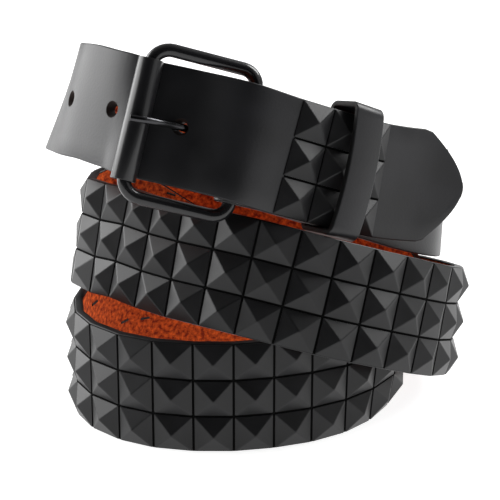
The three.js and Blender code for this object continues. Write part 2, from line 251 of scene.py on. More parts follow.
@dataclass(frozen=True)
class Finish:
    """A surface: its colours, gloss, and the grain that breaks them up."""

    name: str
    dark: tuple[float, float, float]
    light: tuple[float, float, float]
    roughness: float
    roughness_swing: float = 0.0
    metallic: float = 0.0
    specular: float = 0.5
    coat: float = 0.0
    coat_roughness: float = 0.1
    mottle_scale: float = 60.0
    mottle_detail: float = 4.0
    mottle_span: tuple[float, float] = (0.35, 0.65)
    grain_scale: float = 900.0
    grain_detail: float = 3.0
    grain_depth: float = 0.0
    pattern: Pattern = Pattern.OBJECT

    def _coordinates(self, tree: NodeTree) -> NodeSocket:
        """The socket that the finish's noise reads."""
        if self.pattern is Pattern.FLAT:
            attribute = tree.nodes.new("ShaderNodeAttribute")
            attribute.attribute_name = "flat"
            return attribute.outputs["Vector"]
        return tree.nodes.new("ShaderNodeTexCoord").outputs["Object"]

    def _noise(self, tree: NodeTree, coordinates: NodeSocket, scale: float, detail: float) -> NodeSocket:
        """A noise pattern.

        Args:
            tree: The material's node tree.
            coordinates: The socket that the noise reads.
            scale: The noise's scale, in patches for each metre.
            detail: How many finer layers it has.

        Returns:
            The noise's factor.
        """
        noise = tree.nodes.new("ShaderNodeTexNoise")
        noise.inputs["Scale"].default_value = scale
        noise.inputs["Detail"].default_value = detail
        tree.links.new(coordinates, noise.inputs["Vector"])
        return noise.outputs["Fac"]

    def material(self) -> Material:
        """Makes the finish's material."""
        made = bpy.data.materials.new(self.name)
        made.use_nodes = True
        tree = made.node_tree
        shader = tree.nodes["Principled BSDF"]
        for socket, value in (("Base Color", (*self.light, 1.0)), ("Metallic", self.metallic),
                              ("Roughness", self.roughness), ("Specular IOR Level", self.specular),
                              ("Coat Weight", self.coat), ("Coat Roughness", self.coat_roughness)):
            shader.inputs[socket].default_value = value
        coordinates = self._coordinates(tree)
        mottle = self._noise(tree, coordinates, self.mottle_scale, self.mottle_detail)
        if self.dark != self.light:
            first, last = self.mottle_span
            blend = tree.nodes.new("ShaderNodeMix")
            blend.data_type = "RGBA"
            tree.links.new(remap(tree, mottle, {"From Min": first, "From Max": last}), blend.inputs["Factor"])
            blend.inputs[6].default_value = (*self.dark, 1.0)
            blend.inputs[7].default_value = (*self.light, 1.0)
            tree.links.new(blend.outputs[2], shader.inputs["Base Color"])
        if self.roughness_swing:
            gloss = remap(tree, mottle, {"To Min": self.roughness - self.roughness_swing,
                                         "To Max": self.roughness + self.roughness_swing})
            tree.links.new(gloss, shader.inputs["Roughness"])
        if self.grain_depth:
            bump = tree.nodes.new("ShaderNodeBump")
            bump.inputs["Strength"].default_value = 1.0
            bump.inputs["Distance"].default_value = self.grain_depth
            grain = self._noise(tree, coordinates, self.grain_scale, self.grain_detail)
            tree.links.new(grain, bump.inputs["Height"])
            tree.links.new(bump.outputs["Normal"], shader.inputs["Normal"])
        return made


BLACK_LEATHER = Finish("black_leather", (0.008, 0.008, 0.009), (0.013, 0.013, 0.015), 0.4, 0.06, specular=0.4,
                       grain_scale=1100.0, grain_depth=0.00004, pattern=Pattern.FLAT)
EDGE_PAINT = Finish("black_edge_paint", (0.006, 0.006, 0.007), (0.012, 0.012, 0.013), 0.4, specular=0.3,
                    grain_scale=500.0, grain_depth=0.00005, pattern=Pattern.FLAT)
RAW_CORE = Finish("dyed_hole_wall", (0.010, 0.006, 0.005), (0.018, 0.009, 0.007), 0.7, specular=0.2)
ORANGE_SUEDE = Finish("orange_suede", (0.16, 0.014, 0.004), (0.66, 0.11, 0.016), 0.95, specular=0.2,
                      mottle_scale=620.0, grain_scale=1500.0, grain_depth=0.0003, pattern=Pattern.FLAT)
# Painted shade: the leather under and between the studs gets a darker, duller black than the strap, so the
# grooves between the studs read as shaded.
STUD_GROOVE_PAINTED_SHADE = Finish("painted_shade_stud_groove", (0.003, 0.003, 0.003), (0.005, 0.005, 0.005), 0.9, specular=0.05)
STUD_METAL = Finish("black_stud_metal", (0.006, 0.006, 0.0065), (0.010, 0.010, 0.011), 0.38, 0.06,
                    specular=0.3, mottle_scale=90.0)
PRONG_STEEL = Finish("stud_prong_steel", (0.01, 0.01, 0.01), (0.03, 0.028, 0.026), 0.5, metallic=0.8)
BUCKLE_BLACK = Finish("gloss_black_buckle", (0.008, 0.008, 0.009), (0.008, 0.008, 0.009), 0.24, specular=0.3,
                      coat=0.3, coat_roughness=0.08)
ROLLER_BLACK = Finish("satin_black_roller", (0.008, 0.008, 0.009), (0.008, 0.008, 0.009), 0.3, specular=0.4,
                      coat=0.2)
PRONG_NICKEL = Finish("black_nickel_prong", (0.05, 0.05, 0.053), (0.05, 0.05, 0.053), 0.24, metallic=1.0)
RIVET_NICKEL = Finish("dark_nickel_rivet", (0.22, 0.21, 0.2), (0.26, 0.25, 0.24), 0.3, metallic=1.0)
KEEPER_LEATHER = Finish("black_keeper_leather", (0.007, 0.007, 0.008), (0.012, 0.012, 0.014), 0.4, 0.06,
                        specular=0.4, grain_scale=1100.0, grain_depth=0.00004)
# Partly real and partly painted shade: the keeper's cut edges carry black edge paint, made darker and duller
# than the strap's so they also stand in for the shadow in the gap by the studs.
KEEPER_EDGE_AND_SHADE = Finish("black_keeper_edge_and_painted_shade", (0.004, 0.004, 0.004), (0.008, 0.008, 0.008), 0.6, specular=0.2)


def dress(obj: Object, *finishes: Finish) -> None:
    """Gives an object its materials, the first one on every face.

    Args:
        obj: The object to dress.
        finishes: The finishes, one for each of its slots.
    """
    obj.data.materials.clear()
    for finish in finishes:
        made = bpy.data.materials.get(finish.name) or finish.material()
        obj.data.materials.append(made)


def mount(obj: Object, place: Matrix, node: str, *finishes: Finish, angle: float = 40) -> None:
    """Puts a modelled piece in its place, dresses it and registers it for its CAD node.

    Args:
        obj: The piece, in its own axes.
        place: Where those axes lie in the row frame.
        node: The CAD node, whose name is also its material slot's.
        finishes: The piece's finishes.
        angle: Edges sharper than this many degrees stay sharp.
    """
    settle(obj, place)
    dress(obj, *finishes)
    smooth(obj, angle)
    register(obj, node, node)


@dataclass(frozen=True)
class Station:
    """A place on the strap's outer face at mid-width, and the direction up its width there."""

    point: Vector
    across: Vector


@dataclass(frozen=True)
class Seat(Station):
    """A station that also knows the directions along the strap and out of it."""

    tangent: Vector
    out: Vector


def axes(x: Vector, y: Vector, z: Vector, origin: Vector) -> Matrix:
    """The matrix whose columns are three directions and an origin."""
    matrix = Matrix((x, y, z)).transposed().to_4x4()
    matrix.translation = origin
    return matrix


class Ribbon:
    """A smooth ribbon through stations, read by distance along it."""

    def __init__(self, stations: list[Station]) -> None:
        """Works out the ribbon's slopes.

        Args:
            stations: The stations in order.
        """
        self.values = {"point": [s.point for s in stations], "across": [s.across for s in stations]}
        self.knots = [0.0]
        for before, after in zip(stations, stations[1:]):
            self.knots.append(self.knots[-1] + (after.point - before.point).length)
        self.slopes = {key: [self._slope(key, i) for i in range(len(stations))] for key in self.values}

    def _rate(self, key: str, a: int, b: int) -> Vector:
        """The mean change between two stations."""
        return (self.values[key][b] - self.values[key][a]) / (self.knots[b] - self.knots[a])

    def _slope(self, key: str, i: int) -> Vector:
        """The slope at a station.

        Args:
            key: "point" or "across".
            i: The station's index.

        Returns:
            The change for each metre along the ribbon.
        """
        last = len(self.knots) - 1
        if i == 0:
            return self._rate(key, 0, 1) * 1.5 - self._rate(key, 1, 2) * 0.5
        if i == last:
            return self._rate(key, last - 1, last) * 1.5 - self._rate(key, last - 2, last - 1) * 0.5
        share = (self.knots[i] - self.knots[i - 1]) / (self.knots[i + 1] - self.knots[i - 1])
        mean = self._rate(key, i - 1, i).lerp(self._rate(key, i, i + 1), share)
        here = self.values[key][i]
        for axis in range(3):
            if any(abs(self.values[key][j][axis] - here[axis]) < STEADY[key] for j in (i - 1, i + 1)):
                mean[axis] = 0.0
        return mean

    def _blend(self, key: str, distance: float) -> Vector:
        """The value of a key at a distance."""
        i = min(max(bisect.bisect_left(self.knots, distance) - 1, 0), len(self.knots) - 2)
        span = self.knots[i + 1] - self.knots[i]
        t = (distance - self.knots[i]) / span
        t2, t3 = t * t, t * t * t
        values, slopes = self.values[key], self.slopes[key]
        return (values[i] * (2 * t3 - 3 * t2 + 1) + slopes[i] * (span * (t3 - 2 * t2 + t))
                + values[i + 1] * (3 * t2 - 2 * t3) + slopes[i + 1] * (span * (t3 - t2)))

    def at(self, distance: float) -> Seat:
        """The place at a distance along the ribbon.

        Args:
            distance: The distance from its start.

        Returns:
            The seat there.
        """
        step = 0.05 * MM
        point = self._blend("point", distance)
        tangent = (self._blend("point", distance + step) - self._blend("point", distance - step)).normalized()
        across = self._blend("across", distance)
        across = (across - tangent * across.dot(tangent)).normalized()
        return Seat(point, across, tangent, tangent.cross(across))


@dataclass(frozen=True)
class CoilRow:
    """A row of the coil: the turn angle in degrees from the buckle's side, the radius as a share
    of the coil's, the height as a share of the strap's width, and the lean outward in degrees."""

    turn: float
    radius: float
    height: float
    lean: float


COIL_ROWS = [CoilRow(*row) for row in (
    # turn, radius, height, lean
    (-90, 0.71, 2.625, -13.5), (-72, 0.655, 2.5, -8.5), (-53, 0.656, 2.37, -8),
    (-38, 0.7, 2.255, -8), (-23, 0.795, 2.12, -7.5), (-8, 0.955, 1.935, -6),
    (7, 1.17, 1.735, 0), (18, 1.25, 1.63, 5), (34, 1.215, 1.555, 8),
    (60, 1.035, 1.53, 6), (90, 0.875, 1.53, 4), (125, 0.895, 1.53, 2),
    (155, 0.94, 1.525, -3), (177, 1.03, 1.52, -11), (190, 0.915, 1.545, -16),
    (204, 0.83, 1.59, -16.5), (237, 0.78, 1.59, -17), (270, 0.855, 1.54, -18.5),
    (297, 0.972, 1.365, -15.5), (320, 1.085, 1.135, -8), (341, 1.195, 0.875, 0.5),
    (362, 1.25, 0.655, 8), (388, 1.13, 0.53, 8), (415, 0.9, 0.5, 0),
    (450, 0.735, 0.5, 0), (480, 0.775, 0.5, 0), (507, 0.885, 0.5, 0),
    (527, 0.96, 0.5, 0), (545, 1.04, 0.5, 0), (567, 1.11, 0.5, 0),
    (591, 1.08, 0.5, 0), (616, 0.985, 0.5, 0), (643, 0.908, 0.5, 0),
    (671, 0.91, 0.505, 4), (700, 0.955, 0.53, 13), (725, 0.985, 0.625, 18),
    (745, 0.9, 0.86, 13), (770, 0.77, 1.22, 8), (800, 0.61, 1.64, 4),
    (830, 0.7, 1.98, 2), (855, 0.73, 2.31, 0), (868, 0.77, 2.485, -3),
    (880, 0.955, 2.605, -12), (889.5, 1.11, 2.71, -17.5), (898, 1.085, 2.775, -18.5),
    (909.5, 1.04, 2.835, -17.5), (922, 0.97, 2.87, -17), (934, 0.922, 2.87, -17),
)]


@dataclass(frozen=True)
class Line:
    """A line across the strap: its distance along it, the share of the width that it keeps, and
    whether a column of studs ends there."""

    at: float
    half: float = 1.0
    studs: bool = False


@dataclass
class Route:
    """The belt's sizes and the way that its strap takes through the coil and the buckle."""

    strap_width: float = 38.1 * MM
    leather: float = 2.8 * MM
    coil_radius: float = 58 * MM
    tip_length: float = 15 * MM
    tip_power: float = 1.75
    tip_lines: int = 24
    column_pitch: float = 13.2 * MM
    column_gap: float = 1.0 * MM
    field_start: float = 111.8 * MM
    field_columns: int = 62
    tip_columns: int = 3
    tip_column_pitch: float = 12.9 * MM
    tip_field_start: float = 15 * MM
    bar_radius: float = 2.2 * MM
    heel_to_roller: float = 35.3 * MM
    roller_wall: float = 0.95 * MM
    roller_slack: float = 0.95 * MM
    running_gap: float = 0.35 * MM
    buckle_kick: float = 13.0
    fold_length: float = 54 * MM
    flap_closes_at: float = 0.35
    flap_closes_over: float = 0.25
    rivet_places: tuple[float, ...] = (24 * MM, 46 * MM)
    stud_height: float = 3.5 * MM
    keeper_leather: float = 2 * MM
    keeper_slip: float = 1.1 * MM
    lay_gap: float = 1.8 * MM
    lap_length: float = 80.5 * MM
    roller_lead: float = 12 * MM
    flap_step: float = 3 * MM
    wrap_step: float = 0.7 * MM
    plain_step: float = 2.5 * MM
    buckle_step: float = 1.5 * MM
    tip_step: float = 2 * MM

    def __post_init__(self) -> None:
        """Lays the route and the lines across the strap."""
        self.lines: list[Line] = []
        self.half_frame = self.heel_to_roller / 2
        self.roller_radius = self.bar_radius + self.roller_slack + self.roller_wall
        self.heel_layer = self.bar_radius + self.running_gap + self.leather
        self.lap_offset = self.lay_gap + self.leather
        self.layer_gap = self.keeper_leather + 2 * self.keeper_slip
        self._lay_route()
        self._shift_to_frame()
        self._draw_lines()

    def _coil_station(self, row: CoilRow) -> Station:
        """The station of a row of the coil."""
        angle, lean = math.radians(row.turn), math.radians(row.lean)
        outward = Vector((math.cos(angle), math.sin(angle), 0.0))
        point = outward * (row.radius * self.coil_radius) + UP * (row.height * self.strap_width)
        return Station(point, UP * math.cos(lean) + outward * math.sin(lean))

    def _flap_stations(self) -> list[Station]:
        """The folded flap behind the buckle end, from its cut end to the heel bar."""
        bar_gap = 2 * (self.bar_radius + self.running_gap)
        stations = []
        for tenths in range(10, 0, -1):
            share = tenths / 10
            t = min(max((self.flap_closes_at - share) / self.flap_closes_over, 0.0), 1.0)
            gap = self.layer_gap + t * t * (3 - 2 * t) * (bar_gap - self.layer_gap)
            base = self.coil.at(share * self.fold_length)
            stations.append(Station(base.point - base.out * (2 * self.leather + gap), base.across))
        return stations

    def _wrap_stations(self) -> list[Station]:
        """The strap's turn round the heel bar."""
        stations = []
        for degrees in (180, 150, 120, 90, 60, 30):
            angle = math.radians(degrees)
            point = (self.heel_bar + self.heel.out * (self.heel_layer * math.cos(angle))
                     - self.heel.tangent * (self.heel_layer * math.sin(angle)))
            stations.append(Station(point, self.heel.across))
        return stations

    def _pass_stations(self) -> list[Station]:
        """The strap's way through the buckle, from the roller to the heel bar."""
        rows = (
            # along as a share of heel_to_roller, out, rise as a share of the width
            (0.0, -self.roller_radius - 2.8 * self.running_gap, 0.03),
            (0.4, 0.1 * self.leather, 0.028),
            (0.97, self.heel_layer + self.lap_offset, 0.012),
        )
        self.prong_seat = rows[1][2] * self.strap_width
        self.hole_x = (rows[1][0] - 0.5) * self.heel_to_roller
        return [Station(self.roller_axis + self.frame_along * (along * self.heel_to_roller)
                        + self.frame_out * out + self.heel.across * (rise * self.strap_width),
                        self.heel.across) for along, out, rise in rows]

    def _lap_stations(self) -> list[Station]:
        """The free end beyond the heel bar, on the buckle end's outer face."""
        rows = (
            # along as a share of lap_length, lift as a share of leather, rise as a share of width
            (0.14, 0.0, 0.0),
            (0.28, 0.0, 0.0),
            (0.43, 0.0, 0.005),
            (0.58, 0.05, 0.02),
            (0.72, 0.3, 0.055),
            (0.85, 1.0, 0.1),
            (1.0, 2.9, 0.14),
        )
        stations = []
        for along, lift, rise in rows:
            base = self.coil.at(along * self.lap_length)
            point = (base.point + base.out * (self.lap_offset + lift * self.leather)
                     + base.across * (rise * self.strap_width))
            stations.append(Station(point, base.across))
        return stations

    def _lay_route(self) -> None:
        """Strings the stations into the strap's path and finds the places that matter on it."""
        self.coil = Ribbon([self._coil_station(row) for row in COIL_ROWS])
        self.heel = self.coil.at(0.0)
        self.heel_bar = self.heel.point - self.heel.out * self.heel_layer
        turn = Matrix.Rotation(math.radians(-self.buckle_kick), 3, self.heel.across)
        self.frame_along = turn @ self.heel.tangent
        self.frame_out = self.frame_along.cross(self.heel.across)
        self.frame_centre = self.heel_bar - self.frame_along * self.half_frame
        self.roller_axis = self.frame_centre - self.frame_along * self.half_frame
        flap, wrap = self._flap_stations(), self._wrap_stations()
        turns = [self.coil.at(knot) for knot in self.coil.knots]
        turns.insert(1, self.coil.at(self.heel_layer))
        through, lap = self._pass_stations(), self._lap_stations()
        self.path = Ribbon(flap + wrap + turns + through + lap)
        knots = self.path.knots
        self.wrap_at = knots[len(flap) - 1]
        self.heel_at = knots[len(flap) + len(wrap)]
        self.roller_at = knots[len(flap) + len(wrap) + len(turns)]
        self.heel_pass_at = knots[len(knots) - len(lap) - 1]
        self.prong_hole_at = knots[len(knots) - len(lap) - len(through) + 1]

    def _shift_to_frame(self) -> None:
        """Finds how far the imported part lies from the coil's own axis, by its roller."""
        low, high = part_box("roller")
        self.shift = (low + high) / 2 - self.roller_axis

    def _draw_lines(self) -> None:
        """Draws the lines where the leather bends; between them it is flat, as under a stud."""
        self._plain(0.0, self.wrap_at, self.flap_step)
        self._plain(self.wrap_at, self.heel_at, self.wrap_step)
        field_at = self.heel_at + self.field_start
        self._plain(self.heel_at, field_at, self.plain_step)
        field_end = self._studded(field_at, self.field_columns, self.column_pitch)
        buckle_at = self.roller_at - self.roller_lead
        self._plain(field_end, buckle_at, self.plain_step)
        tip_field_at = self.heel_pass_at + self.tip_field_start
        self._plain(buckle_at, tip_field_at, self.buckle_step)
        tip_field_end = self._studded(tip_field_at, self.tip_columns, self.tip_column_pitch)
        self.tip_at = self.path.knots[-1] - self.tip_length
        self._plain(tip_field_end, self.tip_at, self.tip_step)
        for i in range(1, self.tip_lines):
            share = math.sin(0.5 * math.pi * i / self.tip_lines)
            half = (1 - share) ** (1 / self.tip_power)
            self.lines.append(Line(self.tip_at + share * self.tip_length, half))
        self.seats = [self.path.at(line.at) for line in self.lines]
        self.starts = [line.at for line in self.lines]

    def _plain(self, start: float, end: float, step: float) -> None:
        """Adds even lines on a plain stretch, its start included."""
        count = max(1, round((end - start) / step))
        self.lines.extend(Line(start + (end - start) * i / count) for i in range(count))

    def _studded(self, start: float, columns: int, pitch: float) -> float:
        """Adds the lines on both sides of each column of studs.

        Args:
            start: Where the first column starts.
            columns: How many columns there are.
            pitch: The distance from one column to the next.

        Returns:
            Where the last column ends.
        """
        for i in range(columns):
            left = start + i * pitch
            self.lines.append(Line(left + self.column_gap / 2))
            self.lines.append(Line(left + pitch - self.column_gap / 2, studs=True))
        return start + columns * pitch

    def rolled(self, flat: Vector) -> Vector:
        """Where a point of the flat strap lies once the strap is on its route.

        Args:
            flat: Distance along the strap, place across it and height over its outer face.

        Returns:
            The point in the row frame.
        """
        i = min(max(bisect.bisect_right(self.starts, flat.x) - 1, 0), len(self.starts) - 2)
        t = (flat.x - self.starts[i]) / (self.starts[i + 1] - self.starts[i])
        a, b = self.seats[i], self.seats[i + 1]
        near = a.point + a.across * flat.y + a.out * flat.z
        far = b.point + b.across * flat.y + b.out * flat.z
        return near.lerp(far, t) + self.shift

    def roll(self, obj: Object) -> None:
        """Rolls a flat object onto the route and keeps its flat places for its grain.

        Args:
            obj: A piece modelled flat, at the origin.
        """
        mesh = obj.data
        flat = mesh.uv_layers.new(name="flat")
        for loop in mesh.loops:
            flat.data[loop.index].uv = mesh.vertices[loop.vertex_index].co.xy
        for vertex in mesh.vertices:
            vertex.co = self.rolled(vertex.co)

    @property
    def buckle_place(self) -> Matrix:
        """The buckle's axes: from roller to heel bar, up the width, and outward."""
        return axes(self.frame_along, self.heel.across, self.frame_out, self.frame_centre + self.shift)

    def buckle_end_place(self, distance: float, depth: float) -> Matrix:
        """Axes on the buckle end, at a distance from the heel bar and a depth under its face."""
        seat = self.coil.at(distance)
        return axes(seat.tangent, seat.across, seat.out, seat.point - seat.out * depth + self.shift)


@dataclass
class Strap:
    """The leather strap with its holes, black outside and suede inside."""

    route: Route
    hole_diameter: float = 4.8 * MM
    hole_pitch: float = 25.4 * MM
    hole_count: int = 5
    hole_flare: float = 0.35 * MM
    hole_taper: float = 0.54
    slot_width: float = 5 * MM
    slot_reach: float = 9.7 * MM
    slot_rounding: float = 0.45
    rivet_hole_radius: float = 1.9 * MM
    rivet_hole_flare: float = 0.1 * MM
    rim_radius: float = 0.55 * MM
    cross_steps: int = 6
    level: float = 0.95
    # The share of a column's pitch whose outer face takes the painted shade between the studs.
    painted_shade_share: float = 0.8

    def build(self, prong: "Prong") -> None:
        """Cuts the strap flat, punches it, rolls it and dresses it.

        Args:
            prong: The buckle's prong, which its hole makes room for.
        """
        strap = self._cut_flat()
        combine(strap, "DIFFERENCE", self._punches())
        self._dress(strap)
        self.route.roll(strap)
        combine(strap, "DIFFERENCE", prong.clearance())
        smooth(strap, 28)
        register(strap, "strap", "strap")

    def _cut_flat(self) -> Object:
        """A flat strap with a pointed tip and rounded rims."""
        lines, width = self.route.lines, self.route.strap_width
        last = len(lines) - 1
        strap = primitive("grid", "strap_leather", x_subdivisions=last,
                          y_subdivisions=self.cross_steps, size=2)
        for vertex in strap.data.vertices:
            line = lines[round((vertex.co.x + 1) / 2 * last)]
            vertex.co = Vector((line.at, vertex.co.y * width / 2 * line.half, 0.0))
        finish_with(strap, "SOLIDIFY", thickness=self.route.leather, offset=-1)
        soften(strap, self.rim_radius, 3, 60)
        return strap

    def _punch(self, at: float, radius: float, flare: float, taper: float = 1.0) -> Object:
        """A round cutter whose ends flare a little, for a hole with a pressed mouth.

        Args:
            at: Where it stands along the strap.
            radius: Its radius just under the outer mouth.
            flare: How much each mouth widens.
            taper: Its radius near the inside, as a share of the outer one.

        Returns:
            The cutter.
        """
        leather = self.route.leather
        punch = primitive("cone", "punch", vertices=32, radius1=radius * taper, radius2=radius,
                          depth=leather - 2 * flare, location=(at, 0, -leather / 2))
        for side in (1, -1):
            with editing(punch, "FACE", facing(UP * side)):
                for growth, rise in ((1 + flare / radius, flare), (1.0, flare)):
                    bpy.ops.mesh.extrude_region_move(TRANSFORM_OT_translate={"value": (0, 0, side * rise)})
                    bpy.ops.transform.resize(value=(growth, growth, 1), center_override=(at, 0, 0))
        return punch

    def _punches(self) -> Object:
        """All of the strap's holes and its slot, as one cutter."""
        route = self.route
        punches = [self._punch(route.prong_hole_at - i * self.hole_pitch, self.hole_diameter / 2,
                               self.hole_flare, self.hole_taper) for i in range(self.hole_count)]
        for place in route.rivet_places:
            for at in (route.heel_at + place, route.fold_length - place):
                punches.append(self._punch(at, self.rivet_hole_radius, self.rivet_hole_flare))
        start, end = route.wrap_at - self.slot_reach, route.heel_at + self.slot_reach
        slot = primitive("cube", "slot", size=1, location=((start + end) / 2, 0, -route.leather / 2),
                         scale=(end - start, self.slot_width, 2 * route.leather))
        with editing(slot, "EDGE", lambda a, b: abs(a.z - b.z) > route.leather):
            bpy.ops.mesh.bevel(offset=self.slot_rounding * self.slot_width, segments=6)
        return joined("punches", [slot, *punches])

    def _dress(self, strap: Object) -> None:
        """Suede inside, black grain outside with painted shade on the leather under and between the studs,
        painted rims, and raw leather in the holes."""
        route = self.route
        finishes = (BLACK_LEATHER, ORANGE_SUEDE, EDGE_PAINT, RAW_CORE, STUD_GROOVE_PAINTED_SHADE)
        dress(strap, *finishes)
        rim = route.strap_width / 2 - 2 * self.rim_radius
        behind, ahead = -route.column_gap, self.painted_shade_share * route.column_pitch
        studded = [line.at for line in route.lines if line.studs]
        for face in strap.data.polygons:
            place = face.center
            if place.z < HAIR - route.leather:
                finish = ORANGE_SUEDE
            elif abs(face.normal.z) < self.level:
                finish = EDGE_PAINT if abs(place.y) > rim or place.x > route.tip_at else RAW_CORE
            # Painted shade in the grooves: the outer face from just behind each column to most of its length
            # gets the darker, duller black.
            elif any(behind < at - place.x < ahead for at in studded):
                finish = STUD_GROOVE_PAINTED_SHADE
            else:
                finish = BLACK_LEATHER
            face.material_index = finishes.index(finish)


class BaredProng(NamedTuple):
    """A stud's prong that shows on the suede: its place on the flat strap and its turn."""

    at: float
    across: float
    degrees: float


@dataclass
class Studs:
    """Pyramid studs pressed through the leather in three rows. Some of their prongs show on the
    suede; inside buried_span only the bared ones do."""

    route: Route
    rows: int = 3
    groove_along: float = 0.8 * MM
    groove_across: float = 0.75 * MM
    skirt: float = 0.4 * MM
    edge: float = 0.3 * MM
    sink: float = 0.1 * MM
    prong_reach: float = 3.8 * MM
    prong_share: float = 0.15
    prong_stray: float = 2.0 * MM
    prong_turn: float = 0.5
    prong_seed: int = 1
    bared_prongs: tuple[BaredProng, ...] = (BaredProng(692.1 * MM, 11.5 * MM, -4),
                                            BaredProng(671.6 * MM, -2.0 * MM, 0),
                                            BaredProng(660.9 * MM, -3.5 * MM, 4))
    buried_span: tuple[float, float] = (600 * MM, 1000 * MM)
    prong_length: float = 4.4 * MM
    prong_width: float = 0.8 * MM
    prong_rise: float = 0.35 * MM

    def build(self) -> None:
        """Presses one stud, copies it into place, and bends its prongs over inside."""
        places = self._places()
        pattern = self._stud()
        studs = self._spread("pyramid_studs", pattern, [Matrix.Translation(place) for place in places])
        dress(studs, STUD_METAL)
        register(studs, "strap")
        prongs = self._spread("stud_prongs", self._prong(), self._prong_places(places))
        dress(prongs, PRONG_STEEL)
        register(prongs, "strap")

    def _places(self) -> list[Vector]:
        """The middle of each stud on the flat strap."""
        route = self.route
        row_pitch = route.strap_width / self.rows
        across = [(row - (self.rows - 1) / 2) * row_pitch for row in range(self.rows)]
        places = []
        for line in (line for line in route.lines if line.studs):
            pitch = route.column_pitch if line.at < route.roller_at else route.tip_column_pitch
            middle = line.at + route.column_gap / 2 - pitch / 2
            places.extend(Vector((middle, y, 0)) for y in across)
        return places

    def _prong_places(self, places: list[Vector]) -> list[Matrix]:
        """Where the prongs that the suede doesn't bury lie.

        Args:
            places: The middle of each stud.

        Returns:
            Each prong's place on the flat strap. Those in the photo come first.
        """
        shown = []
        for prong in self.bared_prongs:
            turn = Matrix.Rotation(math.radians(prong.degrees), 4, "Z")
            shown.append(Matrix.Translation((prong.at, prong.across, 0)) @ turn)
        draw = random.Random(self.prong_seed)
        first, last = self.buried_span
        for place in places:
            for side in (-1, 1):
                stray = Vector((draw.uniform(-1, 1), draw.uniform(-1, 1), 0)) * self.prong_stray
                turn = Matrix.Rotation(draw.uniform(-self.prong_turn, self.prong_turn), 4, "Z")
                spot = place + Vector((side * self.prong_reach, 0, 0)) + stray
                if draw.random() < self.prong_share and not first < place.x < last:
                    shown.append(Matrix.Translation(spot) @ turn)
        return shown

    def _stud(self) -> Object:
        """One flat-based pyramid on a short upright skirt, with soft ridges."""
        route = self.route
        base = Vector((route.column_pitch - self.groove_along,
                       route.strap_width / self.rows - self.groove_across, self.skirt + self.sink))
        rise = route.stud_height - self.skirt
        stud = primitive("cube", "stud", size=1, location=(0, 0, base.z / 2 - self.sink), scale=base)
        with editing(stud, "FACE", facing(UP)):
            bpy.ops.mesh.extrude_region_move(TRANSFORM_OT_translate={"value": (0, 0, rise)})
            bpy.ops.mesh.merge(type="CENTER")
        with editing(stud, "EDGE", lambda a, b: max(a.z, b.z) > rise):
            bpy.ops.mesh.bevel(offset=self.edge, segments=3)
        return stud

    def _prong(self) -> Object:
        """One prong of a stud, bent flat on the strap's inside."""
        prong = primitive("cube", "prong_pattern", size=1, location=(0, 0, -self.route.leather),
                          scale=(self.prong_length, self.prong_width, 2 * self.prong_rise))
        soften(prong, EASED, 1)
        return prong

    def _spread(self, name: str, pattern: Object, places: list[Matrix]) -> Object:
        """Copies a pattern onto the flat strap and rolls the copies onto the route.

        Args:
            name: The joined piece's name.
            pattern: The piece that is repeated. It becomes the first copy.
            places: Where each copy's own origin goes on the flat strap.

        Returns:
            The joined piece.
        """
        copies = [pattern] + [copy_of(pattern) for _ in places[1:]]
        for copy, place in zip(copies, places):
            copy.data.transform(place)
        piece = joined(name, copies)
        self.route.roll(piece)
        return piece


@dataclass
class Prong:
    """The prong: a ring on the heel bar and a shank that comes up through the strap."""

    route: Route
    radius: float = 1.2 * MM
    overhang: float = 3 * MM
    drop: float = 1.4 * MM
    slip: float = 0.6 * MM
    end_round: float = 0.3 * MM

    @property
    def ring_radius(self) -> float:
        """The radius of the ring's middle line."""
        return self.route.bar_radius + self.route.running_gap + self.radius

    def _spine(self) -> list[Vector]:
        """The shank's middle line, in the buckle's axes."""
        route, half = self.route, self.route.half_frame
        top = route.roller_radius + route.running_gap + self.radius
        rows = (
            # along, drop, out
            (half - self.ring_radius, 0.0, 0.0),
            (route.hole_x + 7 * MM, 0.0, -1.7 * self.radius),
            (route.hole_x, 0.0, -0.4 * self.radius),
            (-half + 2 * MM, 0.7 * self.drop, top),
            (-half - self.overhang, self.drop, top - 0.3 * self.radius),
        )
        return [Vector((x, route.prong_seat - drop, z)) for x, drop, z in rows]

    def _shank(self, radius: float) -> Object:
        """The shank as a round wire.

        Args:
            radius: The wire's radius.

        Returns:
            The wire, in the buckle's axes.
        """
        bpy.ops.curve.primitive_bezier_curve_add()
        wire = named("shank")
        spline = wire.data.splines[0]
        spine = self._spine()
        spline.bezier_points.add(len(spine) - 2)
        for knot, place in zip(spline.bezier_points, spine):
            knot.co = place
            knot.handle_left_type = knot.handle_right_type = "AUTO"
        wire.data.dimensions = "3D"
        wire.data.bevel_depth = radius
        wire.data.bevel_resolution = 5
        wire.data.resolution_u = 8
        wire.data.use_fill_caps = True
        select_only(wire)
        bpy.ops.object.convert(target="MESH")
        return named("shank")

    def clearance(self) -> Object:
        """The room that the strap's hole leaves round the shank."""
        room = self._shank(self.radius + self.slip)
        settle(room, self.route.buckle_place)
        return room

    def build(self) -> None:
        """Bends the wire, curls its ring and puts it on the heel bar."""
        route = self.route
        prong = self._shank(self.radius)
        soften(prong, self.end_round, 3, 50)
        ring = primitive("torus", "ring", major_radius=self.ring_radius, minor_radius=self.radius,
                         major_segments=48, minor_segments=20, rotation=(math.pi / 2, 0, 0),
                         location=(route.half_frame, route.prong_seat, 0))
        combine(prong, "UNION", ring)
        prong.name = "prong_wire"
        mount(prong, route.buckle_place, "prong", PRONG_NICKEL)


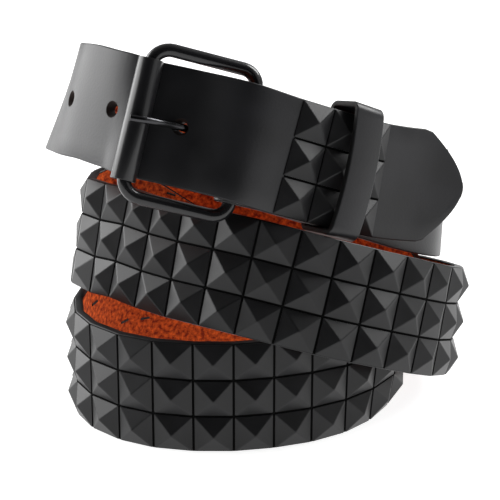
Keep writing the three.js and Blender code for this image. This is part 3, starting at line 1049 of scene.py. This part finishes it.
@dataclass
class Buckle:
    """The buckle's wire frame and the sleeve that rolls on its outer bar."""

    route: Route
    inner_height: float = 43.8 * MM
    roller_corner: float = 6.5 * MM
    heel_corner: float = 5.5 * MM
    roller_length: float = 39.4 * MM
    sides: int = 24

    def build(self) -> None:
        """Builds the frame and the roller."""
        self._frame()
        self._roller()

    def _frame(self) -> None:
        """A round bar, drawn along four sides and turned at four corners."""
        route = self.route
        half_x = route.half_frame
        half_y = self.inner_height / 2 + route.bar_radius
        left, right = self.roller_corner - half_x, half_x - self.heel_corner
        reach, heel_reach = half_y - self.roller_corner, half_y - self.heel_corner
        bar = primitive("circle", "buckle_wire", vertices=self.sides, radius=route.bar_radius,
                        location=(-half_x, -reach, 0), rotation=(math.pi / 2, 0, 0))
        runs = (
            # how far the bar runs on, and the middle of the turn after it
            ((0, 2 * reach, 0), (left, reach, 0)),
            ((right - left, 0, 0), (right, heel_reach, 0)),
            ((0, -2 * heel_reach, 0), (right, -heel_reach, 0)),
            ((left - right, 0, 0), (left, -reach, 0)),
        )
        with editing(bar, "EDGE", lambda a, b: True):
            for run, centre in runs:
                bpy.ops.mesh.extrude_region_move(TRANSFORM_OT_translate={"value": run})
                bpy.ops.mesh.spin(steps=8, angle=math.pi / 2, center=centre, axis=UP)
            bpy.ops.mesh.select_all(action="SELECT")
            bpy.ops.mesh.remove_doubles(threshold=HAIR)
            bpy.ops.mesh.normals_make_consistent(inside=False)
        mount(bar, route.buckle_place, "buckle_frame", BUCKLE_BLACK)

    def _roller(self) -> None:
        """A thin sleeve with eased ends."""
        route = self.route
        sleeve = primitive("cylinder", "roller_sleeve", vertices=48, radius=route.roller_radius,
                           depth=self.roller_length, end_fill_type="NOTHING",
                           rotation=(math.pi / 2, 0, 0), location=(-route.half_frame, 0, 0))
        finish_with(sleeve, "SOLIDIFY", thickness=route.roller_wall, offset=-1)
        soften(sleeve, EASED)
        mount(sleeve, route.buckle_place, "roller", ROLLER_BLACK)


@dataclass
class Keeper:
    """The leather loop that holds the belt's free end down."""

    route: Route
    place: float = 35 * MM
    width: float = 11.5 * MM
    room: float = 1.0 * MM
    rise: float = 0.8 * MM
    corner: float = 1 * MM
    rim: float = 0.45 * MM
    bow: float = 2.0 * MM
    lean: float = 2.3 * MM
    bow_cuts: int = 12
    cut_facing: float = 0.8

    def build(self) -> None:
        """Folds the loop from a block's four sides and puts it round the strap."""
        route = self.route
        low = -route.leather - route.keeper_slip - route.keeper_leather
        high = route.lap_offset + route.stud_height + route.keeper_slip + route.keeper_leather
        reach = route.strap_width / 2 + self.room + route.keeper_leather
        loop = primitive("cube", "keeper_loop", size=1, location=(0, self.rise, (low + high) / 2),
                         scale=(self.width, 2 * reach, high - low))
        with editing(loop, "EDGE", lambda a, b: abs(a.x - b.x) > self.width / 2):
            bpy.ops.mesh.bevel(offset=route.keeper_leather + self.corner, segments=6)
        with editing(loop, "FACE", lambda face: abs(face.normal.x) > FACING):
            bpy.ops.mesh.delete(type="ONLY_FACE")
        finish_with(loop, "SOLIDIFY", thickness=route.keeper_leather, offset=-1)
        soften(loop, self.rim, 3)
        self._bow(loop, reach)
        cut = [face.index for face in loop.data.polygons if abs(face.normal.x) > self.cut_facing]
        mount(loop, route.buckle_end_place(self.place, 0.0), "keeper", KEEPER_LEATHER, KEEPER_EDGE_AND_SHADE)
        # The cut edges take the edge finish: real edge paint, partly painted shade.
        for index in cut:
            loop.data.polygons[index].material_index = 1

    def _bow(self, loop: Object, reach: float) -> None:
        """Bends the loop's outer side: its middle lies towards the tip and its top leans back."""
        with editing(loop, "FACE", lambda face: True):
            for steps in range(1, self.bow_cuts):
                place = (0, self.rise - reach + 2 * reach * steps / self.bow_cuts, 0)
                bpy.ops.mesh.select_all(action="SELECT")
                bpy.ops.mesh.bisect(plane_co=place, plane_no=(0, 1, 0))
        top = max(vertex.co.z for vertex in loop.data.vertices)
        for vertex in loop.data.vertices:
            share = (vertex.co.y - self.rise) / reach
            outer = min(max(vertex.co.z / top, 0.0), 1.0)
            vertex.co.x += (self.bow * (1 - share * share) - self.lean * (1 + share) / 2) * outer


@dataclass
class Rivets:
    """Two flat-headed rivets through the folded buckle end."""

    route: Route
    pin_radius: float = 1.6 * MM
    head_radius: float = 3.5 * MM
    head: float = 0.9 * MM
    crown: float = 0.5
    head_gaps: float = 1.5

    def build(self) -> None:
        """Turns each rivet and sets it through both layers."""
        route = self.route
        stack = 2 * route.leather + route.layer_gap
        reach = stack / 2 + self.head_gaps * route.running_gap
        for i, place in enumerate(route.rivet_places, start=1):
            rivet = self._round(self.pin_radius, 2 * reach, 0.0)
            for side in (1, -1):
                head = self._round(self.head_radius, self.head, side * (reach + self.head / 2))
                with editing(head, "FACE", facing(UP * side)):
                    bpy.ops.mesh.bevel(offset=self.crown * self.head, segments=4)
                combine(rivet, "UNION", head)
            rivet.name = f"rivet_turned_{i}"
            mount(rivet, route.buckle_end_place(place, stack / 2), f"rivet_{i}", RIVET_NICKEL, angle=35)

    def _round(self, radius: float, depth: float, height: float) -> Object:
        """A round of a rivet on its own axis: its radius, its length and its middle's height."""
        return primitive("cylinder", "round", vertices=40, radius=radius, depth=depth,
                         location=(0, 0, height))


class SoftLight(NamedTuple):
    """A rectangular light: its name, its place, its width and height, and its watts."""

    name: str
    place: tuple[float, float, float]
    size: tuple[float, float]
    power: float


@dataclass
class Studio:
    """The floor, lights and camera."""

    route: Route
    camera_distance: float = 617 * MM
    camera_elevation: float = 18.63
    look_height: float = 51.4 * MM
    lens: float = 127.224
    front_surround: float = 0.01
    back_surround: float = 0.45
    surround_span: tuple[float, float] = (-0.6, 0.5)
    floor_size: float = 8.0
    floor_glow: float = 0.9
    lights: tuple[SoftLight, ...] = (SoftLight("left_light", (-1.15, 0.35, 0.45), (1.5, 1.1), 25),
                                     SoftLight("right_light", (0.8, 0.3, 0.8), (0.6, 0.6), 13),
                                     SoftLight("fill_light", (1.1, -0.6, 0.5), (0.8, 0.8), 1.3))

    def build(self) -> None:
        """Sets up the studio, in plain display colours."""
        bpy.context.scene.view_settings.view_transform = "Standard"
        self._floor()
        self._world()
        self._lights()
        self._camera()

    def _floor(self) -> None:
        """A wide pale floor."""
        floor = primitive("plane", "floor", size=self.floor_size)
        dress(floor, Finish("pale_floor", (0.5, 0.5, 0.5), (0.5, 0.5, 0.5), 0.9))
        glow = floor.data.materials[0].node_tree.nodes["Principled BSDF"]
        glow.inputs["Emission Color"].default_value = WHITE
        glow.inputs["Emission Strength"].default_value = self.floor_glow

    def _world(self) -> None:
        """A pale surround, dimmer on the buckle's side, where the studio is dark."""
        world = bpy.data.worlds.new("surround")
        bpy.context.scene.world = world
        world.use_nodes = True
        tree = world.node_tree
        background = tree.nodes["Background"]
        background.inputs["Color"].default_value = WHITE
        split = tree.nodes.new("ShaderNodeSeparateXYZ")
        tree.links.new(tree.nodes.new("ShaderNodeTexCoord").outputs["Generated"], split.inputs["Vector"])
        front, back = self.surround_span
        fade = remap(tree, split.outputs["Y"], {"From Min": front, "From Max": back,
                                                "To Min": self.front_surround, "To Max": self.back_surround})
        seen = tree.nodes.new("ShaderNodeMix")
        tree.links.new(tree.nodes.new("ShaderNodeLightPath").outputs["Is Camera Ray"], seen.inputs["Factor"])
        tree.links.new(fade, seen.inputs["A"])
        seen.inputs["B"].default_value = 1.0
        tree.links.new(seen.outputs["Result"], background.inputs["Strength"])

    def _lights(self) -> None:
        """A large soft light on the left, one high on the right, and a weak one by the tip."""
        target = self.route.shift + UP * self.look_height
        for spec in self.lights:
            bpy.ops.object.light_add(type="AREA", location=spec.place)
            light = named(spec.name)
            light.data.shape = "RECTANGLE"
            light.data.size, light.data.size_y = spec.size
            light.data.energy = spec.power
            light.rotation_euler = (target - Vector(spec.place)).to_track_quat("-Z", "Y").to_euler()

    def _camera(self) -> None:
        """The camera, at the photograph's angle."""
        angle = math.radians(self.camera_elevation)
        target = Vector((self.route.shift.x, self.route.shift.y, self.look_height))
        place = target + Vector((0, -math.cos(angle), math.sin(angle))) * self.camera_distance
        bpy.ops.object.camera_add(location=place)
        camera = named("camera")
        camera.rotation_euler = (target - place).to_track_quat("-Z", "Y").to_euler()
        camera.data.lens = self.lens
        bpy.context.scene.camera = camera


def main() -> None:
    """Builds the belt's pieces in order, then the studio."""
    logging.basicConfig(level=logging.INFO, format="%(name)s: %(message)s")
    route = Route()
    prong = Prong(route)
    Strap(route).build(prong)
    Studs(route).build()
    Buckle(route).build()
    prong.build()
    Keeper(route).build()
    Rivets(route).build()
    Studio(route).build()


if __name__ == "__main__":
    main()
